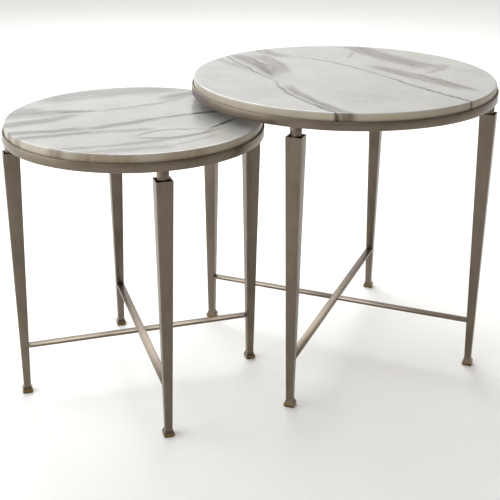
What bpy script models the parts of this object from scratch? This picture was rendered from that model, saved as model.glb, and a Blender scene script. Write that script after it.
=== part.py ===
"""A pair of round nesting tables: marble tops set in metal hoops on four tapered legs each.

The origin is on the floor, in the middle of the pair's length and width, and +Z is up. +X runs
from the small table to the large one. The small table slides along X to nest or to stand clear.
Each piece is built in its table's own frame, whose origin is on the floor under the middle of
the top, and hangs on that table's empty.
"""

import math

import bmesh
import bpy

# ---- driving dimensions, in metres and degrees ----

GAP = 0.0003  # left between two pieces that touch

# the pair
LARGE_DIAMETER = 0.610  # outside of the large hoop
SMALL_DIAMETER = 0.488  # outside of the small hoop
LARGE_HEIGHT = 0.592  # floor to the face of the large marble
NEST_AIR = 0.017  # between the face of the small marble and the large hoop above it
NEST_OVERLAP = 0.1165  # how far the small hoop reaches in under the large one
NEST_SIDE_STEP = 0.0195  # how far the small table stands to the side of the large one's axis
LARGE_LEG_TURN = 45.0  # from +X to the first large leg
SMALL_LEG_TURN = 84.4  # from +X to the first small leg
LEG_COUNT = 4

# top
MARBLE_THICKNESS = 0.0244
MARBLE_EDGE_ROUND = 0.0022
MARBLE_ARRIS = 0.0006  # chamfer under the slab
MARBLE_CLEARANCE = 0.0013  # shadow gap between the slab and the hoop
HOOP_DEPTH = 0.017
HOOP_WALL = 0.0026
LEDGE_WIDTH = 0.026
LEDGE_THICKNESS = 0.004
PAD_DIAMETER = 0.014
PAD_THICKNESS = 0.002

# legs, measured square across their faces
LEG_INSET = 0.0136  # leg axis inside the outside of the hoop
LEG_TOP_WIDTH = 0.0302
LEG_FLOOR_WIDTH = 0.0127  # the taper carried down to the floor
LEG_WALL = 0.0020  # of the hollow under the plug
SOCKET_DEPTH = 0.012
SOCKET_CLEARANCE = 0.0012  # between the neck and each wall of the square socket
PLUG_THICKNESS = 0.012
NECK_DIAMETER = 0.0214
NECK_SHOWING = 0.018  # between the hoop and the leg

# fixing screw through each neck
SCREW_DIAMETER = 0.006
SCREW_HEAD_DIAMETER = 0.0115
SCREW_HEAD_HEIGHT = 0.0033
SCREW_HEAD_RIM = 0.0004  # upright edge of the head, above its cone
SCREW_CLEARANCE = 0.0004
SCREW_TIP_COVER = 0.002  # plug left past the end of the screw

# feet
FOOT_WIDTH = 0.0198
FOOT_HEIGHT = 0.0155  # floor to the end of the leg
FOOT_EDGE_HEIGHT = 0.0045
FOOT_WAIST_SHARE = 0.35  # how far the flare has opened at half of its height
SPIGOT_HEIGHT = 0.010
SPIGOT_CLEARANCE = 0.0004
GLIDE_MARGIN = 0.0009  # foot showing round the glide
GLIDE_THICKNESS = 0.0015

# stretchers
STRETCHER_WIDTH = 0.0159
STRETCHER_DEPTH = 0.0048
STRETCHER_TOP = 0.1025  # floor to their upper faces

# fineness of round pieces
TOP_STEPS = 96
NECK_STEPS = 24
SCREW_STEPS = 12
PAD_STEPS = 16
ROUND_STEPS = 3  # across the marble's rounded edge
SHARP_ANGLE = 30.0  # edges steeper than this stay sharp when a piece is shaded smooth

# ---- finishes: colour, roughness, metallic ----

MARBLE = ((0.62, 0.61, 0.58), 0.16, 0.0)
PEWTER = ((0.23, 0.20, 0.16), 0.38, 0.9)
STEEL = ((0.42, 0.42, 0.41), 0.32, 1.0)
RUBBER = ((0.55, 0.56, 0.55), 0.55, 0.0)
NYLON = ((0.05, 0.04, 0.03), 0.60, 0.0)

# ---- sizes worked out from the driving dimensions ----

TOP_RISE = LEDGE_THICKNESS + PAD_THICKNESS + 2 * GAP + MARBLE_THICKNESS  # above a hoop's underside
LARGE_RADIUS = LARGE_DIAMETER / 2
SMALL_RADIUS = SMALL_DIAMETER / 2
SMALL_HEIGHT = LARGE_HEIGHT - TOP_RISE - NEST_AIR
SCREW_HOLE = SCREW_DIAMETER + 2 * SCREW_CLEARANCE
SCREW_LENGTH = LEDGE_THICKNESS + NECK_SHOWING + SOCKET_DEPTH + PLUG_THICKNESS - SCREW_TIP_COVER
FULL_TURN = math.tau
MERGE = 0.00005  # points of a turned piece nearer than this are one


def leg_width(height, leg_top):
    """Width across a leg's faces at a height above the floor."""
    return LEG_FLOOR_WIDTH + (LEG_TOP_WIDTH - LEG_FLOOR_WIDTH) * height / leg_top


def leg_angles(turn):
    """Directions of the four legs, in radians."""
    return [math.radians(turn) + FULL_TURN * k / LEG_COUNT for k in range(LEG_COUNT)]


def reach(radius, turn, direction):
    """How far a table reaches from its axis in a direction, with its hoop and its leg corners."""
    half = LEG_TOP_WIDTH / 2
    corners = [
        (radius - LEG_INSET + half) * math.cos(angle - direction)
        + half * abs(math.sin(angle - direction))
        for angle in leg_angles(turn)
    ]
    return max(radius, *corners)


# The two axes are placed so that the pair's box is centred on the origin.
SPACING = LARGE_RADIUS + SMALL_RADIUS - NEST_OVERLAP
SMALL_REACH = reach(SMALL_RADIUS, SMALL_LEG_TURN, math.pi)
LARGE_REACH = reach(LARGE_RADIUS, LARGE_LEG_TURN, 0.0)
LARGE_X = (SMALL_REACH + SPACING - LARGE_REACH) / 2
SMALL_X = LARGE_X - SPACING
SIDE_HIGH = max(
    reach(LARGE_RADIUS, LARGE_LEG_TURN, math.pi / 2),
    NEST_SIDE_STEP + reach(SMALL_RADIUS, SMALL_LEG_TURN, math.pi / 2),
)
SIDE_LOW = max(
    reach(LARGE_RADIUS, LARGE_LEG_TURN, -math.pi / 2),
    reach(SMALL_RADIUS, SMALL_LEG_TURN, -math.pi / 2) - NEST_SIDE_STEP,
)
LARGE_Y = (SIDE_LOW - SIDE_HIGH) / 2
SMALL_Y = LARGE_Y + NEST_SIDE_STEP


# ---- scene helpers ----


def clear_scene():
    """Removes what the scene holds."""
    for item in list(bpy.data.objects):
        bpy.data.objects.remove(item, do_unlink=True)


def new_collection(name):
    """A collection linked to the scene."""
    collection = bpy.data.collections.new(name)
    bpy.context.scene.collection.children.link(collection)
    return collection


def finish_material(name, finish):
    """A Principled material with one finish's colour, roughness and metallic value."""
    colour, roughness, metallic = finish
    material = bpy.data.materials.new(name + "_finish")
    material.use_nodes = True
    shader = material.node_tree.nodes["Principled BSDF"]
    shader.inputs["Base Color"].default_value = (*colour, 1.0)
    shader.inputs["Roughness"].default_value = roughness
    shader.inputs["Metallic"].default_value = metallic
    material.diffuse_color = (*colour, 1.0)
    return material


def add_object(name, mesh, collection, parent=None, place=(0, 0, 0), turn=0.0):
    """An object for a mesh, placed and turned about Z in its parent's frame."""
    item = bpy.data.objects.new(name, mesh)
    collection.objects.link(item)
    item.parent = parent
    item.location = place
    item.rotation_euler = (0.0, 0.0, turn)
    return item


def add_piece(name, mesh, finish, collection, parent, place=(0, 0, 0), turn=0.0):
    """A sub-part with a material of its own, held by its object so that copies can share a mesh."""
    if not mesh.materials:
        mesh.materials.append(None)
    piece = add_object(name, mesh, collection, parent, place, turn)
    slot = piece.material_slots[0]
    slot.link = "OBJECT"
    slot.material = finish_material(name, finish)
    return piece


def add_empty(name, collection, place, parent=None):
    """An empty that carries the pieces of one moving body."""
    empty = bpy.data.objects.new(name, None)
    collection.objects.link(empty)
    empty.parent = parent
    empty.location = place
    return empty


# ---- shapes ----


def turned(name, profile, steps, closed=False):
    """A mesh turned about Z from (radius, height) points that run down the outer side.

    With four steps the section is a square, whose corners are at the given radius.
    """
    outline = bpy.data.meshes.new(name + "_profile")
    points = [(radius, 0.0, height) for radius, height in profile]
    edges = [(k, k + 1) for k in range(len(points) - 1)]
    if closed:
        edges.append((len(points) - 1, 0))
    outline.from_pydata(points, edges, [])
    blank = bpy.data.objects.new(name + "_blank", outline)
    bpy.context.scene.collection.objects.link(blank)
    screw = blank.modifiers.new("turn", "SCREW")
    screw.axis = "Z"
    screw.angle = FULL_TURN
    screw.steps = steps
    screw.render_steps = steps
    screw.use_merge_vertices = True
    screw.merge_threshold = MERGE
    return baked(blank, name)


def squared(name, profile, closed=False):
    """A square section from (half width, height) points, its faces square to X and Y."""
    corners = [(half * math.sqrt(2), height) for half, height in profile]
    mesh = turned(name, corners, 4, closed)
    turn_mesh(mesh, FULL_TURN / 8)
    return mesh


def turn_mesh(mesh, angle):
    """Turns a mesh about its own Z axis."""
    shape = bmesh.new()
    shape.from_mesh(mesh)
    cos, sin = math.cos(angle), math.sin(angle)
    for vert in shape.verts:
        x, y, z = vert.co
        vert.co = (x * cos - y * sin, x * sin + y * cos, z)
    shape.to_mesh(mesh)
    shape.free()


def baked(item, name):
    """The mesh that an object's modifiers make, shaded smooth between sharp edges."""
    bpy.context.view_layer.update()
    evaluated = item.evaluated_get(bpy.context.evaluated_depsgraph_get())
    mesh = bpy.data.meshes.new_from_object(evaluated)
    mesh.name = name
    bpy.data.objects.remove(item, do_unlink=True)
    mesh.shade_smooth()
    mesh.set_sharp_from_angle(angle=math.radians(SHARP_ANGLE))
    return mesh


def box(name, length, width, depth):
    """A cuboid whose upper face is at height 0, centred on X and Y."""
    mesh = bpy.data.meshes.new(name)
    shape = bmesh.new()
    bmesh.ops.create_cube(shape, size=1.0)
    bmesh.ops.scale(shape, vec=(length, width, depth), verts=shape.verts)
    bmesh.ops.translate(shape, vec=(0, 0, -depth / 2), verts=shape.verts)
    shape.to_mesh(mesh)
    shape.free()
    return mesh


def cut(item, cutter):
    """Takes a cutter away from a piece."""
    difference = item.modifiers.new("cut_" + cutter.name, "BOOLEAN")
    difference.operation = "DIFFERENCE"
    difference.solver = "EXACT"
    difference.object = cutter


def as_cutter(name, mesh, collection, parent=None, place=(0, 0, 0)):
    """A cutter, which is drawn as wire and is no part of the tables."""
    cutter = add_object(name, mesh, collection, parent, place)
    cutter.hide_render = True
    cutter.display_type = "WIRE"
    return cutter


# ---- pieces ----


def marble_mesh(name, radius):
    """The slab, its underside at height 0, with an eased upper edge."""
    rim = radius - HOOP_WALL - MARBLE_CLEARANCE
    top = MARBLE_THICKNESS
    profile = [(0.0, top)]
    for k in range(ROUND_STEPS + 1):
        angle = math.pi / 2 * k / ROUND_STEPS
        profile.append((
            rim - MARBLE_EDGE_ROUND * (1 - math.sin(angle)),
            top - MARBLE_EDGE_ROUND * (1 - math.cos(angle)),
        ))
    profile += [(rim, MARBLE_ARRIS), (rim - MARBLE_ARRIS, 0.0), (0.0, 0.0)]
    return turned(name, profile, TOP_STEPS)


def hoop_mesh(name, radius):
    """The flat bar hoop, its underside at height 0."""
    inner = radius - HOOP_WALL
    profile = [(inner, HOOP_DEPTH), (radius, HOOP_DEPTH), (radius, 0.0), (inner, 0.0)]
    return turned(name, profile, TOP_STEPS, closed=True)


def ledge_mesh(name, radius):
    """The flat ring inside the hoop that carries the slab, its underside at height 0."""
    outer = radius - HOOP_WALL - GAP
    inner = outer - LEDGE_WIDTH
    profile = [(inner, LEDGE_THICKNESS), (outer, LEDGE_THICKNESS), (outer, 0.0), (inner, 0.0)]
    return turned(name, profile, TOP_STEPS, closed=True)


def pad_mesh(name):
    """A cushioning pad between the ledge and the slab, its underside at height 0."""
    radius = PAD_DIAMETER / 2
    profile = [(0.0, PAD_THICKNESS), (radius, PAD_THICKNESS), (radius, 0.0), (0.0, 0.0)]
    return turned(name, profile, PAD_STEPS)


def neck_mesh(name):
    """The round neck from the hoop down into the leg's socket, its upper end at height 0."""
    outer, inner = NECK_DIAMETER / 2, SCREW_HOLE / 2
    top, bottom = -GAP, GAP - NECK_SHOWING - SOCKET_DEPTH
    profile = [(inner, top), (outer, top), (outer, bottom), (inner, bottom)]
    return turned(name, profile, NECK_STEPS, closed=True)


def screw_profile(clearance, head_rise, tip_fall):
    """A countersunk screw's profile under height 0, grown by a clearance and past its ends."""
    head = SCREW_HEAD_DIAMETER / 2 + clearance
    shank = SCREW_DIAMETER / 2 + clearance
    return [
        (0.0, head_rise),
        (head, head_rise),
        (head, -SCREW_HEAD_RIM),
        (shank, -SCREW_HEAD_HEIGHT),
        (shank, -SCREW_LENGTH - tip_fall),
        (0.0, -SCREW_LENGTH - tip_fall),
    ]


def leg_mesh(name, leg_top, collection):
    """The tapered tube with its neck socket and its threaded plug, at heights above the floor."""
    end = FOOT_HEIGHT + GAP
    socket_floor = leg_top - SOCKET_DEPTH
    plug_under = socket_floor - PLUG_THICKNESS
    socket = NECK_DIAMETER / 2 + SOCKET_CLEARANCE
    outer_end = leg_width(end, leg_top) / 2
    profile = [
        (0.0, socket_floor),
        (socket, socket_floor),
        (socket, leg_top),
        (LEG_TOP_WIDTH / 2, leg_top),
        (outer_end, end),
        (outer_end - LEG_WALL, end),
        (leg_width(plug_under, leg_top) / 2 - LEG_WALL, plug_under),
        (0.0, plug_under),
    ]
    leg = add_object(name, squared(name + "_tube", profile), collection)
    drill_length = PLUG_THICKNESS * 2
    drill_profile = [
        (0.0, drill_length / 2),
        (SCREW_HOLE / 2, drill_length / 2),
        (SCREW_HOLE / 2, -drill_length / 2),
        (0.0, -drill_length / 2),
    ]
    drill = as_cutter(
        name + "_drill",
        turned(name + "_drill", drill_profile, SCREW_STEPS),
        collection,
        place=(0, 0, socket_floor - PLUG_THICKNESS / 2),
    )
    cut(leg, drill)
    mesh = baked(leg, name)
    bpy.data.objects.remove(drill, do_unlink=True)
    return mesh


def foot_mesh(name, leg_top):
    """The flared shoe under a leg, with the spigot that goes up into the tube."""
    joint = leg_width(FOOT_HEIGHT, leg_top) / 2
    base = FOOT_WIDTH / 2
    bottom = GLIDE_THICKNESS + GAP
    edge = bottom + FOOT_EDGE_HEIGHT
    waist = joint + (base - joint) * FOOT_WAIST_SHARE
    spigot = joint - LEG_WALL - SPIGOT_CLEARANCE
    profile = [
        (0.0, FOOT_HEIGHT + SPIGOT_HEIGHT),
        (spigot, FOOT_HEIGHT + SPIGOT_HEIGHT),
        (spigot, FOOT_HEIGHT),
        (joint, FOOT_HEIGHT),
        (waist, (FOOT_HEIGHT + edge) / 2),
        (base, edge),
        (base, bottom),
        (0.0, bottom),
    ]
    return squared(name, profile)


def glide_mesh(name):
    """The thin glide under a foot."""
    half = FOOT_WIDTH / 2 - GLIDE_MARGIN
    return squared(name, [(0.0, GLIDE_THICKNESS), (half, GLIDE_THICKNESS), (half, 0.0), (0.0, 0.0)])


# ---- tables ----


def add_top(prefix, radius, hoop_bottom, frame, parts):
    """The marble slab, on an empty of its own that lifts straight out of the hoop."""
    rest = hoop_bottom + TOP_RISE - MARBLE_THICKNESS
    carrier = add_empty(prefix + "_marble_carrier", parts, (0, 0, rest), frame)
    name = prefix + "_marble_top"
    add_piece(name, marble_mesh(name, radius), MARBLE, parts, carrier)


def add_rim(prefix, radius, turn, hoop_bottom, frame, parts, cutters):
    """The hoop, its ledge with countersunk holes, and the pads between the legs."""
    name = prefix + "_hoop"
    add_piece(name, hoop_mesh(name, radius), PEWTER, parts, frame, (0, 0, hoop_bottom))
    name = prefix + "_support_ledge"
    ledge = add_piece(name, ledge_mesh(name, radius), PEWTER, parts, frame, (0, 0, hoop_bottom))
    clearing = LEDGE_THICKNESS + NECK_SHOWING
    hole_mesh = turned(
        prefix + "_screw_hole", screw_profile(SCREW_CLEARANCE, clearing, clearing), SCREW_STEPS
    )
    leg_radius = radius - LEG_INSET
    pad = pad_mesh(prefix + "_pad")
    pad_radius = radius - HOOP_WALL - GAP - LEDGE_WIDTH / 2
    pad_height = hoop_bottom + LEDGE_THICKNESS + GAP
    for k, angle in enumerate(leg_angles(turn), start=1):
        x, y = leg_radius * math.cos(angle), leg_radius * math.sin(angle)
        place = (x, y, hoop_bottom + LEDGE_THICKNESS)
        cut(ledge, as_cutter(f"{prefix}_screw_hole_{k}", hole_mesh, cutters, frame, place))
        between = angle + FULL_TURN / LEG_COUNT / 2
        place = (pad_radius * math.cos(between), pad_radius * math.sin(between), pad_height)
        add_piece(f"{prefix}_pad_{k}", pad, RUBBER, parts, frame, place, between)


def add_legs(prefix, radius, turn, hoop_bottom, frame, parts, cutters):
    """Each leg with its neck, fixing screw, flared foot and glide."""
    leg_top = hoop_bottom - NECK_SHOWING
    leg = leg_mesh(prefix + "_leg", leg_top, cutters)
    neck = neck_mesh(prefix + "_neck")
    screw = turned(prefix + "_fixing_screw", screw_profile(0.0, 0.0, 0.0), SCREW_STEPS)
    foot = foot_mesh(prefix + "_foot", leg_top)
    glide = glide_mesh(prefix + "_glide")
    leg_radius = radius - LEG_INSET
    for k, angle in enumerate(leg_angles(turn), start=1):
        x, y = leg_radius * math.cos(angle), leg_radius * math.sin(angle)
        stack = (
            ("leg", leg, PEWTER, 0.0),
            ("neck", neck, PEWTER, hoop_bottom),
            ("fixing_screw", screw, STEEL, hoop_bottom + LEDGE_THICKNESS),
            ("foot", foot, PEWTER, 0.0),
            ("glide", glide, NYLON, 0.0),
        )
        for kind, mesh, finish, height in stack:
            add_piece(f"{prefix}_{kind}_{k}", mesh, finish, parts, frame, (x, y, height), angle)


def add_stretchers(prefix, radius, turn, hoop_bottom, frame, parts):
    """The cross between the legs: one bar from leg to leg and two that butt against it."""
    leg_top = hoop_bottom - NECK_SHOWING
    leg_face = radius - LEG_INSET - leg_width(STRETCHER_TOP, leg_top) / 2
    end = leg_face - GAP
    angle = leg_angles(turn)[0]
    name = prefix + "_long_stretcher"
    bar = box(name, 2 * end, STRETCHER_WIDTH, STRETCHER_DEPTH)
    add_piece(name, bar, PEWTER, parts, frame, (0, 0, STRETCHER_TOP), angle)
    start = STRETCHER_WIDTH / 2 + GAP
    half_bar = box(prefix + "_half_stretcher", end - start, STRETCHER_WIDTH, STRETCHER_DEPTH)
    middle = (start + end) / 2
    for k, side in enumerate((1, -1), start=1):
        across = angle + side * FULL_TURN / 4
        place = (middle * math.cos(across), middle * math.sin(across), STRETCHER_TOP)
        name = f"{prefix}_half_stretcher_{k}"
        add_piece(name, half_bar, PEWTER, parts, frame, place, across)


def add_table(prefix, diameter, height, turn, x, y, parts, cutters):
    """One whole table on its own empty."""
    radius = diameter / 2
    hoop_bottom = height - TOP_RISE
    frame = add_empty(prefix + "_table", parts, (x, y, 0))
    add_top(prefix, radius, hoop_bottom, frame, parts)
    add_rim(prefix, radius, turn, hoop_bottom, frame, parts, cutters)
    add_legs(prefix, radius, turn, hoop_bottom, frame, parts, cutters)
    add_stretchers(prefix, radius, turn, hoop_bottom, frame, parts)


def main():
    """Builds both tables where they stand when nested."""
    clear_scene()
    parts = new_collection("nesting_tables")
    cutters = new_collection("cutters")
    add_table("large", LARGE_DIAMETER, LARGE_HEIGHT, LARGE_LEG_TURN, LARGE_X, LARGE_Y, parts, cutters)
    add_table("small", SMALL_DIAMETER, SMALL_HEIGHT, SMALL_LEG_TURN, SMALL_X, SMALL_Y, parts, cutters)


main()
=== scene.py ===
"""The looks of two round nesting tables: veined marble slabs in pewter-finished steel frames."""

import logging
import math
from dataclasses import dataclass, field
from enum import Enum
from typing import Any, Callable

import bmesh
import bpy
from bpy.types import Material, Node, NodeSocket, NodeTree, Object
from mathutils import Matrix, Vector


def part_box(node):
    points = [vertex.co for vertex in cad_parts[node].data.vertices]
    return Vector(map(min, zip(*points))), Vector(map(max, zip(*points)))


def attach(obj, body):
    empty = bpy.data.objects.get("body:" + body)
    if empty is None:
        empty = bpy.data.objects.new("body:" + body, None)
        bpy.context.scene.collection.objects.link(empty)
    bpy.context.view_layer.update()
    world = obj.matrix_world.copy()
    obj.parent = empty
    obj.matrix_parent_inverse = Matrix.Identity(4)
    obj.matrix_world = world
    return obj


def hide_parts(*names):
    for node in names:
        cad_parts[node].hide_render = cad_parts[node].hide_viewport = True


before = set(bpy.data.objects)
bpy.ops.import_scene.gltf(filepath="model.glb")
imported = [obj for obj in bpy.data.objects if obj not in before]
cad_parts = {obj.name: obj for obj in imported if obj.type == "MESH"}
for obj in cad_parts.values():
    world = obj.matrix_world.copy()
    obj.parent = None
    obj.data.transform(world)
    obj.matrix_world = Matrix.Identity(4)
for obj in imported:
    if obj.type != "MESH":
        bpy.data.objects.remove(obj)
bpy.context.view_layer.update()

log = logging.getLogger("nesting_tables")

Pair = tuple[float, float]
Triple = tuple[float, float, float]

MM = 0.001
# Faces that meet at less than this angle are shaded as one surface.
SMOOTH_ANGLE = math.radians(32)
# Sides of the slabs, hoops and seat rings, so many that their outlines look round.
HOOP_SIDES = 256
# How far the brushing moves along from one copy of a piece to the next, in metres.
GRAIN_STEP = 0.37
# Heights closer than this count as the same.
NEAR = 0.01 * MM
# A colour Mix node: the places of its share and its two colours, and its settings and output.
SHARE, UNDER, OVER = 0, 6, 7
COLOURS = {"out": 2, "data_type": "RGBA"}
# A Map Range node's two ends of what comes in and of what goes out.
FROM = ("From Min", "From Max")
TO = ("To Min", "To Max")


class Tone(Enum):
    """What a stroke in the marble is coloured with."""

    GREY = "grey"
    TAUPE = "taupe"
    DARK = "dark"
    RUST = "rust"


class Flow(Enum):
    """Which way a piece of metal was brushed."""

    UPRIGHT = "along the piece's Z axis"
    LENGTHWAYS = "along the piece's X axis"
    AROUND = "round the piece's Z axis"


class Pick(Enum):
    """What edit mode selects."""

    FACES = "FACE"
    EDGES = "EDGE"


# ---- colours and nodes ----


def linear(code: str) -> tuple[float, float, float, float]:
    """Turns an sRGB hex colour into linear light.

    Args:
        code: Six hex digits after a hash sign.

    Returns:
        Red, green, blue and a full alpha, each from 0 to 1.
    """
    parts = [int(code[k:k + 2], 16) / 255 for k in (1, 3, 5)]
    light = [c / 12.92 if c <= 0.04045 else ((c + 0.055) / 1.055) ** 2.4 for c in parts]
    return (light[0], light[1], light[2], 1.0)


def feed(node: Node, inputs: dict[Any, Any]) -> None:
    """Fills or links a node's inputs.

    Args:
        node: The node.
        inputs: An input's name or place, and the value or the output socket that feeds it, or
            several names and as many values.
    """
    for key, value in inputs.items():
        if isinstance(key, tuple):
            feed(node, dict(zip(key, value)))
        elif isinstance(value, NodeSocket):
            node.id_data.links.new(value, node.inputs[key])
        else:
            node.inputs[key].default_value = value


def add(tree: NodeTree, kind: str, inputs: dict[Any, Any] | None = None,
        out: int | str = 0, **settings: Any) -> NodeSocket:
    """Adds a node with its settings, and feeds its inputs.

    Args:
        tree: The tree that gets the node.
        kind: The node's type without its ShaderNode prefix.
        inputs: What feeds it, as in feed.
        out: The name or place of the output that is wanted.
        **settings: The node's own properties.

    Returns:
        That output of the new node.
    """
    made = tree.nodes.new("ShaderNode" + kind)
    for name, value in settings.items():
        setattr(made, name, value)
    feed(made, inputs or {})
    return made.outputs[out]


def new_material(name: str) -> tuple[Material, NodeTree, Node]:
    """Makes a material that holds only its Principled shader and its output.

    Args:
        name: The real finish's name.

    Returns:
        The material, its node tree and its Principled shader.
    """
    material = bpy.data.materials.new(name)
    material.use_nodes = True
    tree = material.node_tree
    return material, tree, tree.nodes["Principled BSDF"]


# ---- finishes ----


@dataclass(frozen=True)
class Stroke:
    """One vein or plume in the stone, an arc through three points of the slab's plan, in mm."""

    start: Pair
    middle: Pair
    end: Pair
    half_width: float
    strength: float

    def arc(self, run: float) -> tuple[list[float], list[float]]:
        """The arc as a parabola over the direction in which the stone's bands run.

        Args:
            run: That direction in the slab's plan, in radians.

        Returns:
            The parabola's level, slope and bow, and where the arc starts and ends, in metres.
        """
        cos, sin = math.cos(run), math.sin(run)
        points = [
            ((x * cos + y * sin) * MM, (y * cos - x * sin) * MM)
            for x, y in (self.start, self.middle, self.end)
        ]
        (s0, t0), (s1, t1), (s2, t2) = sorted(points)
        bow = ((t2 - t0) / (s2 - s0) - (t1 - t0) / (s1 - s0)) / (s2 - s1)
        slope = (t1 - t0) / (s1 - s0) - bow * (s0 + s1)
        level = t0 - slope * s0 - bow * s0 * s0
        return [level, slope, bow], [s0, s2]


SMALL_STROKES = {
    Tone.RUST: (
        Stroke((-200, -134), (-187, -151), (-172, -168), 7, 0.50),
        Stroke((-166, -174), (-116, -210), (-56, -234), 10, 0.62),
        Stroke((-34, -238), (20, -239), (70, -230), 9, 0.42),
    ),
    Tone.TAUPE: (
        Stroke((74, 112), (130, 124), (230, 140), 21, 0.83),
        Stroke((-240, 134), (-190, 122), (-140, 106), 26, 0.55),
        Stroke((-170, -186), (-70, -198), (30, -208), 15, 0.58),
        Stroke((-10, -208), (50, -188), (110, -166), 8, 0.45),
    ),
    Tone.GREY: (
        Stroke((-190, 178), (0, 196), (200, 182), 44, 0.65),
        Stroke((-290, 98), (-150, 88), (-60, 66), 19, 0.78),
        Stroke((-290, 74), (-180, 70), (-90, 62), 9, 0.50),
        Stroke((-80, 68), (30, 70), (190, 134), 10, 0.53),
        Stroke((-290, 28), (-180, 30), (-70, 58), 21, 0.88),
        Stroke((-290, -26), (-190, -36), (-80, -50), 15, 0.90),
        Stroke((-130, -50), (-30, -42), (60, -26), 14, 0.90),
        Stroke((-290, -58), (-180, -68), (-60, -80), 13, 0.83),
        Stroke((-120, -70), (-50, -84), (20, -98), 12, 0.62),
        Stroke((-230, -146), (-80, -166), (80, -156), 11, 0.58),
    ),
    Tone.DARK: (
        Stroke((-138, 84), (-90, 74), (-44, 66), 10, 0.70),
        Stroke((20, -30), (100, -22), (240, -26), 9, 0.90),
        Stroke((240, -60), (150, -98), (84, -142), 6, 1.00),
        Stroke((-56, -136), (5, -110), (96, -134), 6, 0.65),
        Stroke((-56, -130), (20, -156), (130, -130), 8, 0.70),
    ),
}

LARGE_STROKES = {
    Tone.TAUPE: (
        Stroke((-136, 0), (-152, -120), (-118, -340), 14, 0.81),
        Stroke((-136, 300), (-120, 180), (-136, 10), 24, 1.00),
        Stroke((-92, 270), (-80, 160), (-118, 30), 22, 0.86),
        Stroke((-66, 340), (-50, 262), (-26, 180), 24, 0.78),
        Stroke((-186, 270), (-170, 190), (-152, 90), 13, 0.52),
        Stroke((160, 310), (172, 120), (224, -60), 37, 1.00),
        Stroke((226, 20), (206, -34), (160, -62), 26, 0.65),
        Stroke((86, 80), (118, -30), (166, -230), 24, 0.86),
    ),
    Tone.GREY: (
        Stroke((-146, -40), (-150, -140), (-128, -340), 7, 0.65),
        Stroke((-86, 236), (-92, 160), (-120, 60), 8, 0.60),
        Stroke((-14, 210), (46, 80), (68, -60), 6, 0.78),
        Stroke((64, 0), (80, -130), (120, -330), 6, 0.99),
        Stroke((132, 200), (112, 168), (84, 138), 7, 0.60),
        Stroke((136, -20), (152, -110), (168, -230), 7, 0.68),
    ),
    Tone.DARK: (
        Stroke((-148, 300), (-153, 120), (-148, -30), 5, 0.72),
        Stroke((-146, 30), (-168, -90), (-125, -340), 5, 1.00),
        Stroke((-106, 262), (-120, 130), (-152, 0), 7, 0.65),
        Stroke((-136, 270), (-126, 180), (-134, 70), 5, 0.55),
        Stroke((76, -120), (94, -200), (122, -350), 4, 0.65),
    ),
}


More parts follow.
